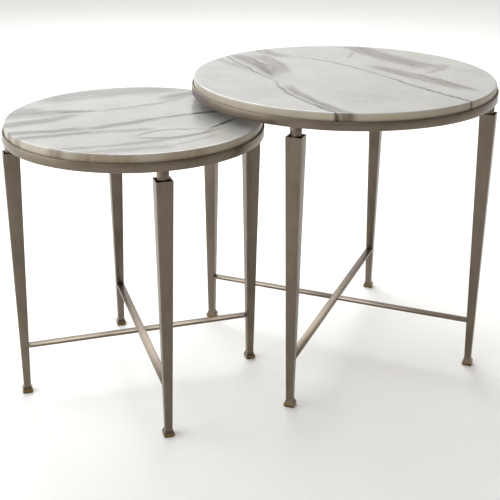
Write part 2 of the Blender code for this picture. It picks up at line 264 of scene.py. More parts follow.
@dataclass(frozen=True)
class PolishedMarble:
    """White, broadly veined marble, sawn, ground and polished on its face and honed on its side.

    The face is a clear, wet-looking white with soft bands; the honed side is duller, and a
    warm tint darkens its colour as painted shade on the sides.
    """

    name: str
    centre: Pair
    run: float
    strokes: dict[Tone, tuple[Stroke, ...]]
    ground: str = "#B1B0AB"
    cloud: str = "#A4A39E"
    grey: str = "#5C5B52"
    taupe: str = "#625A4F"
    dark: str = "#33312A"
    rust: str = "#7F6450"
    # A warm tint multiplied into the colour of faces that look sideways: painted shade on the
    # slab's sides.
    side: str = "#F4E8D4"
    cloud_size: float = 90 * MM
    cloud_range: Pair = (0.42, 0.68)
    wander_size: float = 55 * MM
    wander: float = 8 * MM
    fray_size: float = 9 * MM
    fray: float = 4.5 * MM
    streak_width: float = 5 * MM
    streak_length: float = 90 * MM
    # How much of a stroke shows between its threads, and where a thread begins and is full.
    thin: float = 0.45
    thread_range: Pair = (0.36, 0.62)
    # Shares of a stroke's half width where it ends and is full, and of its length that fades.
    stroke_rim: float = 1.15
    stroke_core: float = 0.3
    stroke_fade: float = 0.25
    # How far a face looks up where the honing and the painted side shade end and where the polish
    # is full.
    polish_and_side_shade_range: Pair = (0.1, 0.75)
    # The honed side's and the polished face's, and what veins take off or add.
    roughness: Pair = (0.38, 0.13)
    vein_roughness: Pair = (-0.03, 0.05)
    crystal_size: float = 2.5 * MM
    relief: float = 0.05 * MM
    bump: float = 0.05
    ior: float = 1.5
    specular: float = 0.4

    def stroke_group(self) -> NodeTree:
        """One node group that gives how strongly a point lies on an arc, shared by every stroke.

        Returns:
            The group's tree.
        """
        found = bpy.data.node_groups.get("stone_stroke")
        if found:
            return found
        tree = bpy.data.node_groups.new("stone_stroke", "ShaderNodeTree")
        for name in ("Along", "Across", "Level", "Slope", "Bow", "First", "Last", "Half width",
                     "Fade", "Strength"):
            tree.interface.new_socket(name, in_out="INPUT", socket_type="NodeSocketFloat")
        tree.interface.new_socket("Mask", in_out="OUTPUT", socket_type="NodeSocketFloat")
        given = tree.nodes.new("NodeGroupInput").outputs
        line = given["Bow"]
        for term in ("Slope", "Level"):
            line = add(tree, "Math", {0: line, 1: given["Along"], 2: given[term]},
                       operation="MULTIPLY_ADD")
        gap = add(tree, "Math", {0: given["Across"], 1: line}, operation="SUBTRACT")
        gap = add(tree, "Math", {0: gap}, operation="ABSOLUTE")
        rim, core = (add(tree, "Math", {0: given["Half width"], 1: share}, operation="MULTIPLY")
                     for share in (self.stroke_rim, self.stroke_core))
        mask = add(tree, "MapRange", {"Value": gap, FROM: (rim, core)},
                   interpolation_type="SMOOTHSTEP")
        for ahead, behind in (("Along", "First"), ("Last", "Along")):
            inside = add(tree, "Math", {0: given[ahead], 1: given[behind]}, operation="SUBTRACT")
            inside = add(tree, "MapRange", {"Value": inside, "From Max": given["Fade"]},
                         interpolation_type="SMOOTHSTEP")
            mask = add(tree, "Math", {0: mask, 1: inside}, operation="MULTIPLY")
        mask = add(tree, "Math", {0: mask, 1: given["Strength"]}, operation="MULTIPLY")
        tree.links.new(mask, tree.nodes.new("NodeGroupOutput").inputs["Mask"])
        return tree

    def tone_mask(self, tree: NodeTree, tone: Tone, along: NodeSocket,
                  across: NodeSocket) -> NodeSocket | None:
        """The strongest of a tone's strokes at each point.

        Args:
            tree: The material's tree.
            tone: The tone whose strokes count.
            along: The wandering place along the bands.
            across: The wandering place across them.

        Returns:
            The mask, from 0 to 1, or None where no stroke has the tone.
        """
        total = None
        for stroke in self.strokes.get(tone, ()):
            (level, slope, bow), (first, last) = stroke.arc(self.run)
            mask = add(tree, "Group", {
                "Along": along, "Across": across, "Level": level, "Slope": slope, "Bow": bow,
                "First": first, "Last": last, "Half width": stroke.half_width * MM,
                "Fade": self.stroke_fade * (last - first), "Strength": stroke.strength,
            }, node_tree=self.stroke_group())
            total = mask if total is None else add(
                tree, "Math", {0: total, 1: mask}, operation="MAXIMUM")
        return total

    def make(self) -> Material:
        """Builds the stone.

        Returns:
            The material.
        """
        material, tree, shader = new_material(self.name)
        place = add(tree, "TexCoord", out="Object")
        plan = add(tree, "Mapping", {
            "Vector": place, "Location": (*self.centre, 0.0), "Rotation": (0.0, 0.0, self.run),
        }, vector_type="TEXTURE")

        wandered = plan
        for size, reach, detail in ((self.wander_size, self.wander, 3.0),
                                    (self.fray_size, self.fray, 4.0)):
            drift = add(tree, "TexNoise", {"Vector": plan, "Scale": 1 / size, "Detail": detail},
                        "Color")
            drift = add(tree, "VectorMath", {0: drift, 1: (0.5, 0.5, 0.5)}, operation="SUBTRACT")
            drift = add(tree, "VectorMath", {0: drift, "Scale": 2 * reach}, operation="SCALE")
            wandered = add(tree, "VectorMath", {0: wandered, 1: drift}, operation="ADD")
        along, across = add(tree, "SeparateXYZ", {0: wandered}).node.outputs[:2]

        stretched = add(tree, "Mapping", {
            "Vector": wandered,
            "Scale": (1 / self.streak_length, 1 / self.streak_width, 1 / self.streak_length)})
        streaks = add(tree, "TexNoise", {"Vector": stretched, "Scale": 1.0, "Detail": 5.0,
                                         "Roughness": 0.62})
        thread = add(tree, "MapRange", {"Value": streaks, FROM: self.thread_range,
                                        "To Min": self.thin})
        clouds = add(tree, "TexNoise", {"Vector": plan, "Scale": 1 / self.cloud_size, "Detail": 6.0,
                                        "Roughness": 0.6})
        clouded = add(tree, "MapRange", {"Value": clouds, FROM: self.cloud_range})
        colour = add(tree, "Mix", {SHARE: clouded, UNDER: linear(self.ground),
                                   OVER: linear(self.cloud)}, **COLOURS)
        for tone, shade in ((Tone.RUST, self.rust), (Tone.TAUPE, self.taupe),
                            (Tone.GREY, self.grey), (Tone.DARK, self.dark)):
            mask = self.tone_mask(tree, tone, along, across)
            if mask is None:
                continue
            mask = add(tree, "Math", {0: mask, 1: thread}, operation="MULTIPLY", use_clamp=True)
            colour = add(tree, "Mix", {SHARE: mask, UNDER: colour, OVER: linear(shade)}, **COLOURS)

        facing = add(tree, "SeparateXYZ", {0: add(tree, "NewGeometry", out="Normal")}, "Z")
        level = add(tree, "MapRange", {"Value": facing, FROM: self.polish_and_side_shade_range},
                    interpolation_type="SMOOTHSTEP")
        # The sides' colour is multiplied by the warm tint: painted shade on the slab's sides.
        honed = add(tree, "Mix", {SHARE: 1.0, UNDER: colour, OVER: linear(self.side)},
                    blend_type="MULTIPLY", **COLOURS)
        colour = add(tree, "Mix", {SHARE: level, UNDER: honed, OVER: colour}, **COLOURS)

        polish = add(tree, "MapRange", {"Value": level, TO: self.roughness})
        veined = add(tree, "MapRange", {"Value": streaks, TO: self.vein_roughness})
        rough = add(tree, "Math", {0: polish, 1: veined}, operation="ADD", use_clamp=True)
        grain = add(tree, "TexNoise", {"Vector": place, "Scale": 1 / self.crystal_size,
                                       "Detail": 3.0})
        bump = add(tree, "Bump", {"Strength": self.bump, "Distance": self.relief, "Height": grain})
        feed(shader, {"Base Color": colour, "Roughness": rough, "Normal": bump, "IOR": self.ior,
                      "Specular IOR Level": self.specular})
        return material


@dataclass(frozen=True)
class BrushedPewter:
    """Steel brushed by hand, toned with a pewter patina and sealed with a thin clear coat.

    The patina is uneven, so it reads as a warm grey brown with darker drifts, and it is rubbed back
    to a paler champagne along the edges.
    """

    name: str = "brushed_pewter_patina"
    body: str = "#6F645A"
    deep: str = "#60564C"
    pale: str = "#837969"
    rubbed: str = "#A1967F"
    # A foot is bronze up to rim_top, and dark up to a lower height: a painted contact shadow near
    # the floor. Each band has a ragged, soft edge.
    foot_rim: str = ""
    foot_shadow: str = "#2A231B"
    rim_top: float = 0.0
    foot_shadow_top: float = 0.0
    ragged: float = 2.4 * MM
    foot_fade: Pair = (1.6 * MM, 0.8 * MM)
    # A real brush line is 0.1 mm wide; drawn coarser, because it would vanish at this distance.
    line_width: float = 0.5 * MM
    line_length: float = 60 * MM
    line_range: Pair = (0.40, 0.78)
    line_share: float = 0.75
    drift_size: float = 60 * MM
    drift_range: Pair = (0.35, 0.66)
    mottle_size: float = 4 * MM
    mottle_range: Pair = (0.38, 0.60)
    edge: float = 1.3 * MM
    # Cosines of the turn at an edge where the wear begins and where it is full.
    wear_range: Pair = (0.995, 0.86)
    gloss_share: float = 0.4
    gloss_range: Pair = (0.3, 0.7)
    roughness: Pair = (0.28, 0.46)
    bump: float = 0.22
    relief: float = 0.06 * MM
    coat: float = 0.12
    coat_roughness: float = 0.22

    def make(self) -> Material:
        """Builds the metal.

        Returns:
            The material.
        """
        material, tree, shader = new_material(self.name)
        place = add(tree, "TexCoord", out="Object")
        lines = add(tree, "Mapping", {"Vector": add(tree, "UVMap", uv_map="grain"),
                                      "Scale": (1 / self.line_width, 1 / self.line_length, 1.0)})
        brush = add(tree, "TexNoise", {"Vector": lines, "Scale": 1.0, "Detail": 4.0,
                                       "Roughness": 0.65})
        drift = add(tree, "TexNoise", {"Vector": place, "Scale": 1 / self.drift_size, "Detail": 4.0,
                                       "Roughness": 0.55})
        mottle = add(tree, "TexNoise", {"Vector": place, "Scale": 1 / self.mottle_size,
                                        "Detail": 3.0})
        rounded = add(tree, "Bevel", {"Radius": self.edge}, samples=6)
        true = add(tree, "NewGeometry", out="Normal")
        turn = add(tree, "VectorMath", {0: rounded, 1: true}, "Value", operation="DOT_PRODUCT")
        drifted, brushed, patchy, worn = (
            add(tree, "MapRange", {"Value": value, FROM: ends, "To Max": most})
            for value, ends, most in (
                (drift, self.drift_range, 1.0), (brush, self.line_range, self.line_share),
                (mottle, self.mottle_range, 1.0), (turn, self.wear_range, 1.0)))
        worn = add(tree, "Math", {0: worn, 1: patchy}, operation="MULTIPLY")
        layers = [(drifted, self.body), (brushed, self.pale), (worn, self.rubbed)]
        if self.foot_rim:
            height = add(tree, "SeparateXYZ", {0: place}, "Z")
            height = add(tree, "Math", {0: mottle, 1: self.ragged, 2: height},
                         operation="MULTIPLY_ADD")
            begin, full = self.foot_fade
            # The lower, dark band is painted contact shadow where the foot nears the floor.
            for top, shade in ((self.rim_top, self.foot_rim), (self.foot_shadow_top, self.foot_shadow)):
                below = add(tree, "MapRange", {"Value": height, FROM: (top + begin, top + full)})
                layers.append((below, shade))
        colour = linear(self.deep)
        for share, shade in layers:
            colour = add(tree, "Mix", {SHARE: share, UNDER: colour, OVER: linear(shade)}, **COLOURS)

        gloss = add(tree, "Mix", {"Factor": self.gloss_share, "A": brush, "B": drift})
        rough = add(tree, "MapRange", {"Value": gloss, FROM: self.gloss_range, TO: self.roughness})
        bump = add(tree, "Bump", {"Strength": self.bump, "Distance": self.relief, "Height": brush})
        feed(shader, {"Base Color": colour, "Roughness": rough, "Normal": bump, "Metallic": 1.0,
                      "Coat Weight": self.coat, "Coat Roughness": self.coat_roughness})
        return material


@dataclass(frozen=True)
class SmallStock:
    """A bought-in piece's finish: plated steel, cast rubber or moulded nylon."""

    name: str
    body: str
    shade: str
    roughness: Pair
    metallic: float
    grain_size: float
    bump: float
    grain_range: Pair = (0.35, 0.65)
    relief: float = 0.05 * MM

    def make(self) -> Material:
        """Builds the finish from a fine mottle in colour, gloss and relief.

        Returns:
            The material.
        """
        material, tree, shader = new_material(self.name)
        place = add(tree, "TexCoord", out="Object")
        grain = add(tree, "TexNoise", {"Vector": place, "Scale": 1 / self.grain_size,
                                       "Detail": 4.0})
        spread = add(tree, "MapRange", {"Value": grain, FROM: self.grain_range})
        colour = add(tree, "Mix", {SHARE: spread, UNDER: linear(self.shade),
                                   OVER: linear(self.body)}, **COLOURS)
        rough = add(tree, "MapRange", {"Value": spread, TO: self.roughness})
        bump = add(tree, "Bump", {"Strength": self.bump, "Distance": self.relief, "Height": grain})
        feed(shader, {"Base Color": colour, "Roughness": rough, "Normal": bump,
                      "Metallic": self.metallic})
        return material


# Bright zinc is dipped, which leaves a faint bluish bloom on the steel.
BRIGHT_ZINC = SmallStock(
    "bright_zinc_plated_steel", "#C3C4C2", "#9D9FA0", roughness=(0.22, 0.38), metallic=1.0,
    grain_size=0.8 * MM, bump=0.10)
# Cast polyurethane is milky and slightly tacky, so it has a soft, broad gloss.
CAST_RUBBER = SmallStock(
    "cast_clear_rubber", "#C4C5BF", "#A8AAA3", roughness=(0.42, 0.58), metallic=0.0,
    grain_size=1.6 * MM, bump=0.08)
# Nylon glides are injection moulded with an eroded, dull face.
MOULDED_NYLON = SmallStock(
    "moulded_black_nylon", "#2B2824", "#1B1916", roughness=(0.50, 0.68), metallic=0.0,
    grain_size=0.5 * MM, bump=0.20)


# ---- modelling ----


class Bench:
    """Shapes a piece with the modelling tools, in the piece's own frame, and places its copies."""

    # A face counts as flat when its normal stands at least this upright.
    FLAT = 0.999
    # Edges sharper than this are eased on rings and tubes.
    RIM_ANGLE = math.radians(60)
    # A face turned nearly across the brushing, and the lines' shift from one side to the next.
    END_FACE = 0.3
    SIDE_STEP = 0.05

    @staticmethod
    def clear() -> None:
        """Leaves edit mode and deselects everything."""
        if bpy.context.object and bpy.context.object.mode != "OBJECT":
            bpy.ops.object.mode_set(mode="OBJECT")
        bpy.ops.object.select_all(action="DESELECT")

    @staticmethod
    def named(name: str) -> Object:
        """Names the piece that was just added and applies its scale.

        Args:
            name: The piece's name.

        Returns:
            The piece.
        """
        piece = bpy.context.object
        piece.name = name
        piece.data.name = name
        bpy.ops.object.transform_apply(location=True, rotation=True, scale=True)
        return piece

    @classmethod
    def rod(cls, name: str, radius: float, low: float, high: float, sides: int,
            ends: str = "NGON") -> Object:
        """Starts a round piece about Z.

        Args:
            name: The piece's name.
            radius: Its radius.
            low: Height of its lower end.
            high: Height of its upper end.
            sides: How many sides it is drawn with.
            ends: How its ends are closed.

        Returns:
            The piece.
        """
        cls.clear()
        bpy.ops.mesh.primitive_cylinder_add(vertices=sides, radius=radius, depth=high - low,
                                            end_fill_type=ends, location=(0, 0, (low + high) / 2))
        return cls.named(name)

    @classmethod
    def block(cls, name: str, size: Triple, low: float) -> Object:
        """Starts a square piece centred on Z.

        Args:
            name: The piece's name.
            size: Its length, width and height.
            low: Height of its lower face.

        Returns:
            The piece.
        """
        cls.clear()
        bpy.ops.mesh.primitive_cube_add(size=1.0, location=(0, 0, low + size[2] / 2), scale=size)
        return cls.named(name)

    @staticmethod
    def pick(piece: Object, kind: Pick, wanted: Callable[[Any], bool]) -> None:
        """Selects faces or edges by their place, in edit mode.

        Args:
            piece: The piece to work on.
            kind: Faces or edges.
            wanted: Says whether a face or an edge is wanted.
        """
        bpy.context.view_layer.objects.active = piece
        piece.select_set(True)
        if piece.mode != "EDIT":
            bpy.ops.object.mode_set(mode="EDIT")
        bpy.ops.mesh.select_mode(type=kind.value)
        bpy.ops.mesh.select_all(action="DESELECT")
        shape = bmesh.from_edit_mesh(piece.data)
        for item in shape.faces if kind is Pick.FACES else shape.edges:
            if wanted(item):
                item.select_set(True)
        bmesh.update_edit_mesh(piece.data)

    @classmethod
    def pick_cap(cls, piece: Object, up: bool) -> None:
        """Selects the flat face at a piece's upper or lower end."""
        side = 1 if up else -1
        cls.pick(piece, Pick.FACES, lambda face: face.normal.z * side > cls.FLAT)

    @classmethod
    def ease(cls, piece: Object, width: float, steps: int, wanted: Callable[[Any], bool]) -> None:
        """Rounds the edges that a test picks.

        Args:
            piece: The piece to work on.
            width: Width of the rounding.
            steps: How many faces the rounding has across it.
            wanted: Says whether an edge is rounded.
        """
        cls.pick(piece, Pick.EDGES, wanted)
        bpy.ops.mesh.bevel(offset=width, segments=steps, profile=0.5, clamp_overlap=True)

    @staticmethod
    def is_level(edge: bmesh.types.BMEdge) -> bool:
        """Whether an edge lies flat."""
        return abs(edge.verts[0].co.z - edge.verts[1].co.z) < NEAR

    @staticmethod
    def rise(height: float) -> None:
        """Extrudes the selected faces upwards, or downwards where the height is negative."""
        bpy.ops.mesh.extrude_region_move(TRANSFORM_OT_translate={"value": (0, 0, height)})

    @staticmethod
    def widen(share: float) -> None:
        """Scales the selected faces in plan."""
        bpy.ops.transform.resize(value=(share, share, 1))

    @staticmethod
    def modify(piece: Object, kind: str, **settings: Any) -> None:
        """Adds a modifier with its settings and applies it.

        Args:
            piece: The piece to work on.
            kind: The modifier's type.
            **settings: The modifier's own properties.
        """
        Bench.clear()
        bpy.context.view_layer.objects.active = piece
        piece.select_set(True)
        modifier = piece.modifiers.new(kind.lower(), kind)
        for name, value in settings.items():
            setattr(modifier, name, value)
        bpy.ops.object.modifier_apply(modifier=modifier.name)

    @classmethod
    def ring(cls, name: str, radius: float, wall: float, low: float, high: float, sides: int,
             edge: float) -> Object:
        """Makes a flat ring or a tube about Z with eased edges.

        Args:
            name: The piece's name.
            radius: Its outer radius.
            wall: How far it reaches in from there.
            low: Height of its lower face.
            high: Height of its upper face.
            sides: How many sides it is drawn with.
            edge: Width of the easing on its edges.

        Returns:
            The piece.
        """
        piece = cls.rod(name, radius, low, high, sides, ends="NOTHING")
        cls.modify(piece, "SOLIDIFY", thickness=wall, offset=-1.0, use_even_offset=True)
        cls.modify(piece, "BEVEL", width=edge, segments=2, limit_method="ANGLE",
                   angle_limit=cls.RIM_ANGLE, use_clamp_overlap=True)
        return piece

    @classmethod
    def cut(cls, piece: Object, cutter: Object) -> None:
        """Takes a cutter away from a piece, and removes the cutter."""
        cls.modify(piece, "BOOLEAN", object=cutter, operation="DIFFERENCE", solver="EXACT")
        bpy.data.objects.remove(cutter, do_unlink=True)

    @staticmethod
    def lay_grain(piece: Object, flow: Flow) -> None:
        """Lays a map in metres over a piece, across the brushing and along it.

        Args:
            piece: The piece to map.
            flow: Which way it was brushed.
        """
        shape = bmesh.new()
        shape.from_mesh(piece.data)
        layer = shape.loops.layers.uv.new("grain")
        axis = Vector((1, 0, 0)) if flow is Flow.LENGTHWAYS else Vector((0, 0, 1))
        for face in shape.faces:
            centre = face.calc_center_median()
            if flow is Flow.AROUND:
                bearing = math.atan2(centre.y, centre.x)
                reach = math.hypot(centre.x, centre.y)
                for loop in face.loops:
                    spot = loop.vert.co
                    turn = math.remainder(math.atan2(spot.y, spot.x) - bearing, math.tau)
                    loop[layer].uv = (spot.z + math.hypot(spot.x, spot.y), (bearing + turn) * reach)
                continue
            across = axis.cross(face.normal)
            if across.length < Bench.END_FACE:
                across = Vector((0, 1, 0)) if flow is Flow.LENGTHWAYS else Vector((1, 0, 0))
            across.normalize()
            side = Bench.SIDE_STEP * round(math.atan2(across.y, across.x) * 4 / math.pi)
            for loop in face.loops:
                loop[layer].uv = (loop.vert.co.dot(across) + side, loop.vert.co.dot(axis))
        shape.to_mesh(piece.data)
        shape.free()

    @classmethod
    def complete(cls, piece: Object, flow: Flow | None = None) -> None:
        """Shades a modelled piece and lays its brushing.

        Args:
            piece: The piece.
            flow: Which way it was brushed, or None where it wasn't.
        """
        cls.clear()
        bpy.context.view_layer.objects.active = piece
        piece.select_set(True)
        bpy.ops.object.shade_smooth_by_angle(angle=SMOOTH_ANGLE, keep_sharp_edges=False)
        if flow is not None:
            cls.lay_grain(piece, flow)

    @staticmethod
    def place_copy(pattern: Object, name: str, spot: Vector, turn: float,
                   shift: float = 0.0) -> Object:
        """Copies a modelled piece, with the place in the copy's own mesh.

        Args:
            pattern: The piece as modelled in its own frame.
            name: The copy's name.
            spot: Where the pattern's origin goes.
            turn: How far the copy is turned about Z, in radians.
            shift: How far its brushing is moved along, so that copies differ.

        Returns:
            The copy.
        """
        mesh = pattern.data.copy()
        mesh.name = name
        mesh.transform(Matrix.Translation(spot) @ Matrix.Rotation(turn, 4, "Z"))
        if shift and "grain" in mesh.uv_layers:
            for corner in mesh.uv_layers["grain"].data:
                corner.uv.y += shift
        copy = bpy.data.objects.new(name, mesh)
        bpy.context.scene.collection.objects.link(copy)
        return copy


# ---- the tables ----


@dataclass
class Finishes:
    """Every metal, rubber and nylon finish on the pair, made once."""

    pewter: Material = field(default_factory=lambda: BrushedPewter().make())
    # The feet's pewter: bronze up the rim, and painted contact shadow at the bottom.
    foot: Material = field(default_factory=lambda: BrushedPewter(
        name="pewter_bronze_rim_painted_foot_shadow", foot_rim="#80663F", rim_top=7.2 * MM,
        foot_shadow_top=2.4 * MM).make())
    zinc: Material = field(default_factory=BRIGHT_ZINC.make)
    rubber: Material = field(default_factory=CAST_RUBBER.make)
    nylon: Material = field(default_factory=MOULDED_NYLON.make)


@dataclass
class Layout:
    """Where one table's pieces stand, read from the frame, in metres."""

    prefix: str
    leg_count: int = 4

    def __post_init__(self) -> None:
        """Reads the table's centre, and each leg's place and bearing."""
        self.frame_body = self.prefix + "_table"
        self.slab_body = self.prefix + "_slab"
        self.centre = self.middle("marble_top")
        self.spots = [self.middle(f"leg_{k}") for k in self.numbers()]
        self.turns = [math.atan2(*(spot - self.centre).yx) for spot in self.spots]
        self.leg_low, self.leg_high = self.heights("leg_1")

    def numbers(self) -> range:
        """The numbers of the legs, from 1."""
        return range(1, self.leg_count + 1)

    def node(self, name: str) -> str:
        """The full name of one of this table's CAD nodes."""
        return f"{self.prefix}_{name}"

    def middle(self, name: str) -> Vector:
        """The middle of a CAD node's box, in plan."""
        low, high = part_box(self.node(name))
        return Vector(((low.x + high.x) / 2, (low.y + high.y) / 2, 0.0))

    def heights(self, name: str) -> Pair:
        """The heights of a CAD node's lower and upper ends."""
        low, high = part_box(self.node(name))
        return low.z, high.z

    def points(self, name: str) -> list[Vector]:
        """A CAD node's corners."""
        return [v.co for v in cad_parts[self.node(name)].data.vertices]

    def radius(self, name: str, about: Vector) -> float:
        """How far a CAD node reaches from an upright axis.

        Args:
            name: The node, without the table's name.
            about: The axis's place in plan.

        Returns:
            The radius.
        """
        return max(math.hypot(p.x - about.x, p.y - about.y) for p in self.points(name))


@dataclass
class SubAssembly:
    """Pieces of one table that are made together."""

    layout: Layout
    finishes: Finishes

    def show(self, piece: Object, node: str, body: str, slot: str,
             material: Material) -> None:
        """Dresses a finished piece and lets it stand for its CAD node.

        Args:
            piece: The piece, in place.
            node: The CAD node it stands for, without the table's name.
            body: The body it rides on.
            slot: The record's material slot; not used.
            material: Its finish.
        """
        piece.data.materials.clear()
        piece.data.materials.append(material)
        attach(piece, body)
        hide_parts(self.layout.node(node))
        log.info("%s: %d faces", piece.name, len(piece.data.polygons))

    def place(self, pattern: Object, name: str, spot: Vector, turn: float = 0.0,
              shift: float = 0.0) -> Object:
        """Places the only copy of a pattern, and removes the pattern.

        Args:
            pattern: The piece as modelled in its own frame.
            name: The copy's name, without the table's name.
            spot: Where the pattern's origin goes.
            turn: How far the copy is turned about Z, in radians.
            shift: How far its brushing is moved along.

        Returns:
            The copy.
        """
        copy = Bench.place_copy(pattern, self.layout.node(name), spot, turn, shift)
        bpy.data.objects.remove(pattern, do_unlink=True)
        return copy

    def repeat(self, pattern: Object, kind: str, node: str, slot: str,
               material: Material) -> None:
        """Places a copy of a leg's piece at every leg, and removes the pattern.

        Args:
            pattern: The piece as modelled on the leg's own axis.
            kind: The copies' name, without the table's name and the number.
            node: The name of the CAD nodes they stand for, likewise.
            slot: The record's material slot.
            material: Their finish.
        """
        layout = self.layout
        for k, spot, turn in zip(layout.numbers(), layout.spots, layout.turns):
            copy = Bench.place_copy(pattern, layout.node(f"{kind}_{k}"), spot, turn, GRAIN_STEP * k)
            self.show(copy, f"{node}_{k}", layout.frame_body, slot, material)
        bpy.data.objects.remove(pattern, do_unlink=True)


@dataclass
class MarbleSlab(SubAssembly):
    """The slab: a sawn disc with an eased upper edge and a small arris below."""

    strokes: dict[Tone, tuple[Stroke, ...]]
    run: float
    eased: float = 3.2 * MM
    eased_steps: int = 5
    arris: float = 0.6 * MM
    # Faces laid inside the rim keep its shading from spreading over the polished face.
    margins: Pair = (1.5 * MM, 40 * MM)

    def build(self) -> None:
        """Cuts, eases and polishes the slab."""
        low, high = self.layout.heights("marble_top")
        centre = self.layout.centre
        radius = self.layout.radius("marble_top", centre)
        disc = Bench.rod("slab_pattern", radius, low, high, HOOP_SIDES)
        Bench.ease(disc, self.eased, self.eased_steps,
                   lambda edge: all(v.co.z > (low + high) / 2 for v in edge.verts))
        Bench.ease(disc, self.arris, 1, lambda edge: all(v.co.z < low + NEAR for v in edge.verts))
        for up in (True, False):
            Bench.pick_cap(disc, up)
            for margin in self.margins:
                bpy.ops.mesh.inset(thickness=margin, depth=0.0)
        Bench.complete(disc)
        slab = self.place(disc, "marble_slab", centre)
        stone = PolishedMarble(self.layout.node("polished_marble"), tuple(centre[:2]), self.run,
                               self.strokes)
        self.show(slab, "marble_top", self.layout.slab_body, "marble", stone.make())


@dataclass
class Hoop(SubAssembly):
    """The hoop: a flat bar rolled into a ring, its long edges eased."""

    wall: float = 2.6 * MM
    edge: float = 0.5 * MM

    def build(self) -> None:
        """Rolls the hoop."""
        low, high = self.layout.heights("hoop")
        centre = self.layout.centre
        radius = self.layout.radius("hoop", centre)
        pattern = Bench.ring("hoop_pattern", radius, self.wall, low, high, HOOP_SIDES, self.edge)
        Bench.complete(pattern, Flow.AROUND)
        hoop = self.place(pattern, "rolled_hoop", centre, math.pi / 2)
        self.show(hoop, "hoop", self.layout.frame_body, "pewter_metal", self.finishes.pewter)


@dataclass
class Screws(SubAssembly):
    """The countersunk screws, with a hexagon recess in the head."""

    head: float = 11.5 * MM
    shank: float = 6 * MM
    head_height: float = 3.3 * MM
    rim: float = 0.4 * MM
    key: float = 4 * MM
    key_depth: float = 2 * MM
    clearance: float = 0.4 * MM
    # How far a cutter goes on beyond the faces that it cuts.
    past: float = 2 * MM
    sides: int = 32
    key_sides: int = 6

    def turned(self, name: str, low: float, high: float, over: float, past: float) -> Object:
        """A shank that widens to a countersunk head about Z.

        Args:
            name: The piece's name.
            low: Height of the shank's lower end.
            high: Height of the head's face.
            over: How much it is larger than the screw all round.
            past: How far it goes on above the head's face.

        Returns:
            The piece, still in edit mode.
        """
        piece = Bench.rod(name, self.shank / 2 + over, low, high - self.head_height, self.sides)
        Bench.pick_cap(piece, True)
        Bench.rise(self.head_height - self.rim)
        Bench.widen((self.head / 2 + over) / (self.shank / 2 + over))
        Bench.rise(self.rim + past)
        return piece

    def hole(self, spot: Vector, low: float, high: float) -> Object:
        """A countersunk cutter for one screw's hole.

        Args:
            spot: The hole's place in plan, from the table's centre.
            low: Height of the lower face it opens in.
            high: Height of the upper face it opens in.

        Returns:
            The cutter, in place.
        """
        cutter = self.turned("hole", low - self.past, high, self.clearance, self.past)
        Bench.clear()
        cutter.data.transform(Matrix.Translation(spot))
        return cutter

    def build(self) -> None:
        """Turns the screws and sinks their recesses."""
        low, high = self.layout.heights("fixing_screw_1")
        screw = self.turned("screw_pattern", low, high, 0.0, 0.0)
        Bench.clear()
        Bench.cut(screw, Bench.rod("key", self.key / math.sqrt(3), high - self.key_depth,
                                   high + self.past, self.key_sides))
        Bench.complete(screw)
        self.repeat(screw, "countersunk_screw", "fixing_screw", "steel_screw", self.finishes.zinc)


@dataclass
class SeatRing(SubAssembly):
    """The ledge that the slab lies on: a flat ring with a countersunk hole over each leg."""

    screws: Screws
    width: float = 26 * MM
    edge: float = 0.5 * MM

    def build(self) -> None:
        """Cuts the ring and its holes."""
        low, high = self.layout.heights("support_ledge")
        centre = self.layout.centre
        radius = self.layout.radius("support_ledge", centre)
        pattern = Bench.ring("ledge_pattern", radius, self.width, low, high, HOOP_SIDES, self.edge)
        for spot in self.layout.spots:
            Bench.cut(pattern, self.screws.hole(spot - centre, low, high))
        Bench.complete(pattern, Flow.AROUND)
        ring = self.place(pattern, "seat_ring", centre)
        self.show(ring, "support_ledge", self.layout.frame_body, "pewter_metal",
                  self.finishes.pewter)


@dataclass
class Bumpers(SubAssembly):
    """The bumpers between the ring and the slab: cast discs with a domed rim."""

    dome: float = 0.8 * MM
    flat: float = 0.5 * MM
    sides: int = 40

    def build(self) -> None:
        """Casts the bumpers."""
        for k in self.layout.numbers():
            spot = self.layout.middle(f"pad_{k}")
            low, high = self.layout.heights(f"pad_{k}")
            radius = self.layout.radius(f"pad_{k}", spot)
            disc = Bench.rod("bumper_pattern", radius, low, high, self.sides)
            Bench.ease(disc, self.dome, 3, Bench.is_level)
            for up in (True, False):
                Bench.pick_cap(disc, up)
                bpy.ops.mesh.inset(thickness=self.flat, depth=0.0)
            Bench.complete(disc)
            bumper = self.place(disc, f"bumper_{k}", spot)
            self.show(bumper, f"pad_{k}", self.layout.frame_body, "rubber_pad",
                      self.finishes.rubber)


